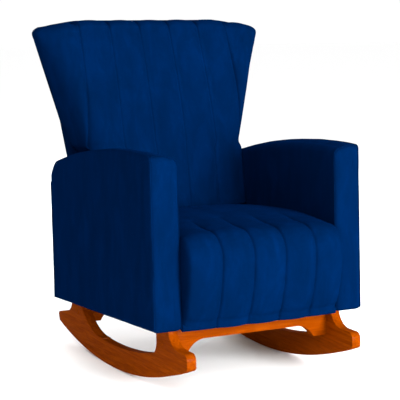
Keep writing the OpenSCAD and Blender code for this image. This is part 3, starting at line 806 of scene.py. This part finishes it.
def makeStaples(low, high):
    points, faces, spots = [], [], []
    inset, lengthX, lengthY = 0.008, high[0] - low[0] - 0.04, high[1] - low[1] - 0.04
    for k in range(9):
        spots += [(low[0] + 0.02 + lengthX * k / 8, y, 1, 0) for y in (low[1] + inset, high[1] - inset)]
    for k in range(1, 9):
        spots += [(x, low[1] + 0.02 + lengthY * k / 9, 0, 1) for x in (low[0] + inset, high[0] - inset)]
    half = dust["stapleCrown"] / 2
    for x, y, dx, dy in spots:
        path = [(x - dx * half, y - dy * half, 0.004), (x - dx * half, y - dy * half, -0.0012),
                (x - dx * (half - 0.0008), y - dy * (half - 0.0008), -0.0019),
                (x + dx * (half - 0.0008), y + dy * (half - 0.0008), -0.0019),
                (x + dx * half, y + dy * half, -0.0012), (x + dx * half, y + dy * half, 0.004)]
        wireAlong(path, dust["stapleWire"], points, faces)
    piece = newPiece("dustCoverStaples", points, faces)
    finishSoft(piece, zinc, [])


makeStaples(*makeDustCover())

pad = {"rows": 100, "columns": 80, "edgeRound": 0.006, "tuft": 0.0012, "tuftPitch": 0.055}


def makeSpringPad():
    low, high = uprightBox("spring_pad")
    middle, half = (low[2] + high[2]) / 2, (high[2] - low[2]) / 2

    def faceAt(v, u, depth):
        x, y = low[0] + (high[0] - low[0]) * u, low[1] + (high[1] - low[1]) * v
        edge = min(x - low[0], high[0] - x, y - low[1], high[1] - y)
        rounding = cornerDrop(edge, pad["edgeRound"]) * min(1, half / pad["edgeRound"])
        across, along = math.pi * x / pad["tuftPitch"], math.pi * y / pad["tuftPitch"]
        quilt = abs(math.sin(across) * math.sin(along)) ** 0.5
        face = half - min(half * 0.8, rounding) - pad["tuft"] * (1 - quilt)
        return (x, y, middle + (face if depth == 0 else -face))

    piece = gridPiece("springPadFelt", pad["rows"], pad["columns"], faceAt, 1)
    pucker(piece, lambda p: 0.5, 0.0004, 0.006)
    finishSoft(piece, feltLook, ["spring_pad"])


makeSpringPad()

webbing = {"straps": 4, "width": 0.055, "thick": 0.0016, "bow": 0.003, "rib": 0.00022}


def makeWebbing():
    low, high = uprightBox("back_webbing")
    points = [upright @ v.co for v in nodes["back_webbing"].data.vertices]
    foot = [p.y for p in points if p.z < low[2] + 0.001]
    head = [p.y for p in points if p.z > high[2] - 0.001]
    footY, headY = sum(foot) / len(foot), sum(head) / len(head)
    pitch = (high[2] - low[2] - webbing["width"]) / (webbing["straps"] - 1)
    rows, columns, verts, faces = 12, 190, [], []
    for n in range(webbing["straps"]):
        start, z0 = len(verts), low[2] + pitch * n
        for depth in (-0.5, 0.5):
            for r in range(rows):
                for c in range(columns):
                    u, v = c / (columns - 1), r / (rows - 1)
                    selvedge = 0.0004 * math.sin(c * 1.9 + n) * (1 if v > 0.5 else -1) * (abs(v - 0.5) > 0.45)
                    z = z0 + webbing["width"] * v + selvedge
                    centre = footY + (headY - footY) * (z - low[2]) / (high[2] - low[2])
                    bow = webbing["bow"] * math.sin(math.pi * u)
                    rib = webbing["rib"] * math.cos(math.pi * c + math.pi * (r // 2))
                    x = low[0] + (high[0] - low[0]) * u
                    verts.append((x, centre - bow + depth * webbing["thick"] + rib, z))
        faces += [tuple(start + k for k in face) for face in slabFaces(rows, columns)]
    piece = newPiece("backWebbingStraps", verts, faces)
    finishSoft(piece, webLook, ["back_webbing"])


makeWebbing()
print("inner soft pieces made")


# ---- stained wood: each board eased along its edges ----

def easedCopy(source, name, material, ease):
    piece = nodes[source].copy()
    piece.data = nodes[source].data.copy()
    piece.parent = None
    for key in list(piece.keys()):
        del piece[key]
    piece.name = piece.data.name = name
    bpy.context.scene.collection.objects.link(piece)
    useOnly(piece)
    bpy.ops.object.mode_set(mode="EDIT")
    bpy.ops.mesh.select_all(action="SELECT")
    bpy.ops.mesh.remove_doubles(threshold=0.00002)
    bpy.ops.mesh.dissolve_limited(angle_limit=math.radians(0.6))
    bpy.ops.mesh.normals_make_consistent(inside=False)
    bpy.ops.object.mode_set(mode="OBJECT")
    edge = piece.modifiers.new("Ease", "BEVEL")
    edge.width, edge.segments, edge.limit_method = ease, 3, "ANGLE"
    edge.angle_limit = math.radians(40)
    edge.use_clamp_overlap = True
    applyAll(piece)
    useOnly(piece)
    bpy.ops.object.shade_smooth_by_angle(angle=math.radians(35))
    piece.data.materials.clear()
    piece.data.materials.append(material)
    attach(piece, "root")
    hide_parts(source)
    return piece


for source, name, material in (
        ("rocker_left", "rockerLeft", stainedLong), ("rocker_right", "rockerRight", stainedLong),
        ("front_stretcher", "frontStretcher", stainedWide), ("rear_stretcher", "rearStretcher", stainedWide)):
    easedCopy(source, name, material, 0.0025)
print("rockers and stretchers made")


# ---- everything else keeps its solid and gets its own finish ----

finishes = {
    "bolt_plugs": stainedLong, "stretcher_bolts": zinc, "barrel_nuts": zinc, "hanger_bolts": zinc,
    "threaded_inserts": zinc, "seat_front_rail": pineWide, "seat_rear_rail": pineWide,
    "seat_side_rail_left": pineLong, "seat_side_rail_right": pineLong, "corner_blocks": pineTall,
    "spring_clips": zinc, "spring_tie_wires": zinc, "arm_bolts": zinc, "back_bolts": zinc,
    "arm_top_rail_left": pineLong, "arm_top_rail_right": pineLong, "back_top_rail": pineWide,
    "back_lumbar_rail": pineWide, "wing_board_left": plywood, "wing_board_right": plywood,
    "side_board_left": hardboard, "side_board_right": hardboard,
}
for name in nodes:
    if name.startswith("seat_spring_"):
        finishes[name] = zinc
    elif name.startswith(("arm_front_post", "arm_rear_post", "back_post")):
        finishes[name] = pineTall
for name, material in finishes.items():
    nodes[name].data.materials.clear()
    nodes[name].data.materials.append(material)
print("finishes set")


# ---- floor, light and camera ----

studio = {"floor": "#fcfcfc", "world": 1.02, "key": 700, "keyAt": (1.4, -4.9, 1.35), "keySize": 2.6,
          "fill": 150, "fillAt": (-2.0, -4.5, 3.2),
          "rear": 160, "rearAt": (0.8, 4.8, 2.6), "lookAt": (0, -0.05, 0.5)}

bpy.ops.mesh.primitive_plane_add(size=60, location=(0, 0, 0))
floor = bpy.context.active_object
floor.name = "floor"
bpy.ops.object.transform_apply(location=True, rotation=True, scale=True)
floorLook, floorShader = newMaterial("paleFloor", Roughness=0.9, Specular_IOR_Level=0.1)
floorShader.inputs["Base Color"].default_value = linear(studio["floor"])
floor.data.materials.append(floorLook)

world = bpy.data.worlds.new("studio")
bpy.context.scene.world = world
world.use_nodes = True
world.node_tree.nodes["Background"].inputs["Color"].default_value = (1, 1, 1, 1)
world.node_tree.nodes["Background"].inputs["Strength"].default_value = studio["world"]


def softBox(name, at, target, size, power):
    light = bpy.data.lights.new(name, "AREA")
    light.shape, light.size, light.energy = "DISK", size, power
    lamp = bpy.data.objects.new(name, light)
    lamp.location = at
    lamp.rotation_euler = (Vector(target) - Vector(at)).to_track_quat("-Z", "Y").to_euler()
    bpy.context.scene.collection.objects.link(lamp)


softBox("keyLight", studio["keyAt"], studio["lookAt"], studio["keySize"], studio["key"])
softBox("fillLight", studio["fillAt"], studio["lookAt"], studio["keySize"], studio["fill"])
softBox("rearLight", studio["rearAt"], studio["lookAt"], studio["keySize"], studio["rear"])

view = {"azimuth": -27.97, "elevation": 8.10, "distance": 4.010, "aim": (-0.0443, -0.1399, 0.5022),
        "lens": 122.7, "sensor": 36}
azimuth, elevation = math.radians(view["azimuth"]), math.radians(view["elevation"])
level = math.cos(elevation)
away = Vector((math.sin(azimuth) * level, -math.cos(azimuth) * level, math.sin(elevation)))
lens = bpy.data.cameras.new("camera")
lens.lens, lens.sensor_width = view["lens"], view["sensor"]
camera = bpy.data.objects.new("camera", lens)
camera.location = Vector(view["aim"]) + away * view["distance"]
camera.rotation_euler = (-away).to_track_quat("-Z", "Y").to_euler()
bpy.context.scene.collection.objects.link(camera)
bpy.context.scene.camera = camera
bpy.context.scene.view_settings.view_transform = "Standard"
print("studio set")
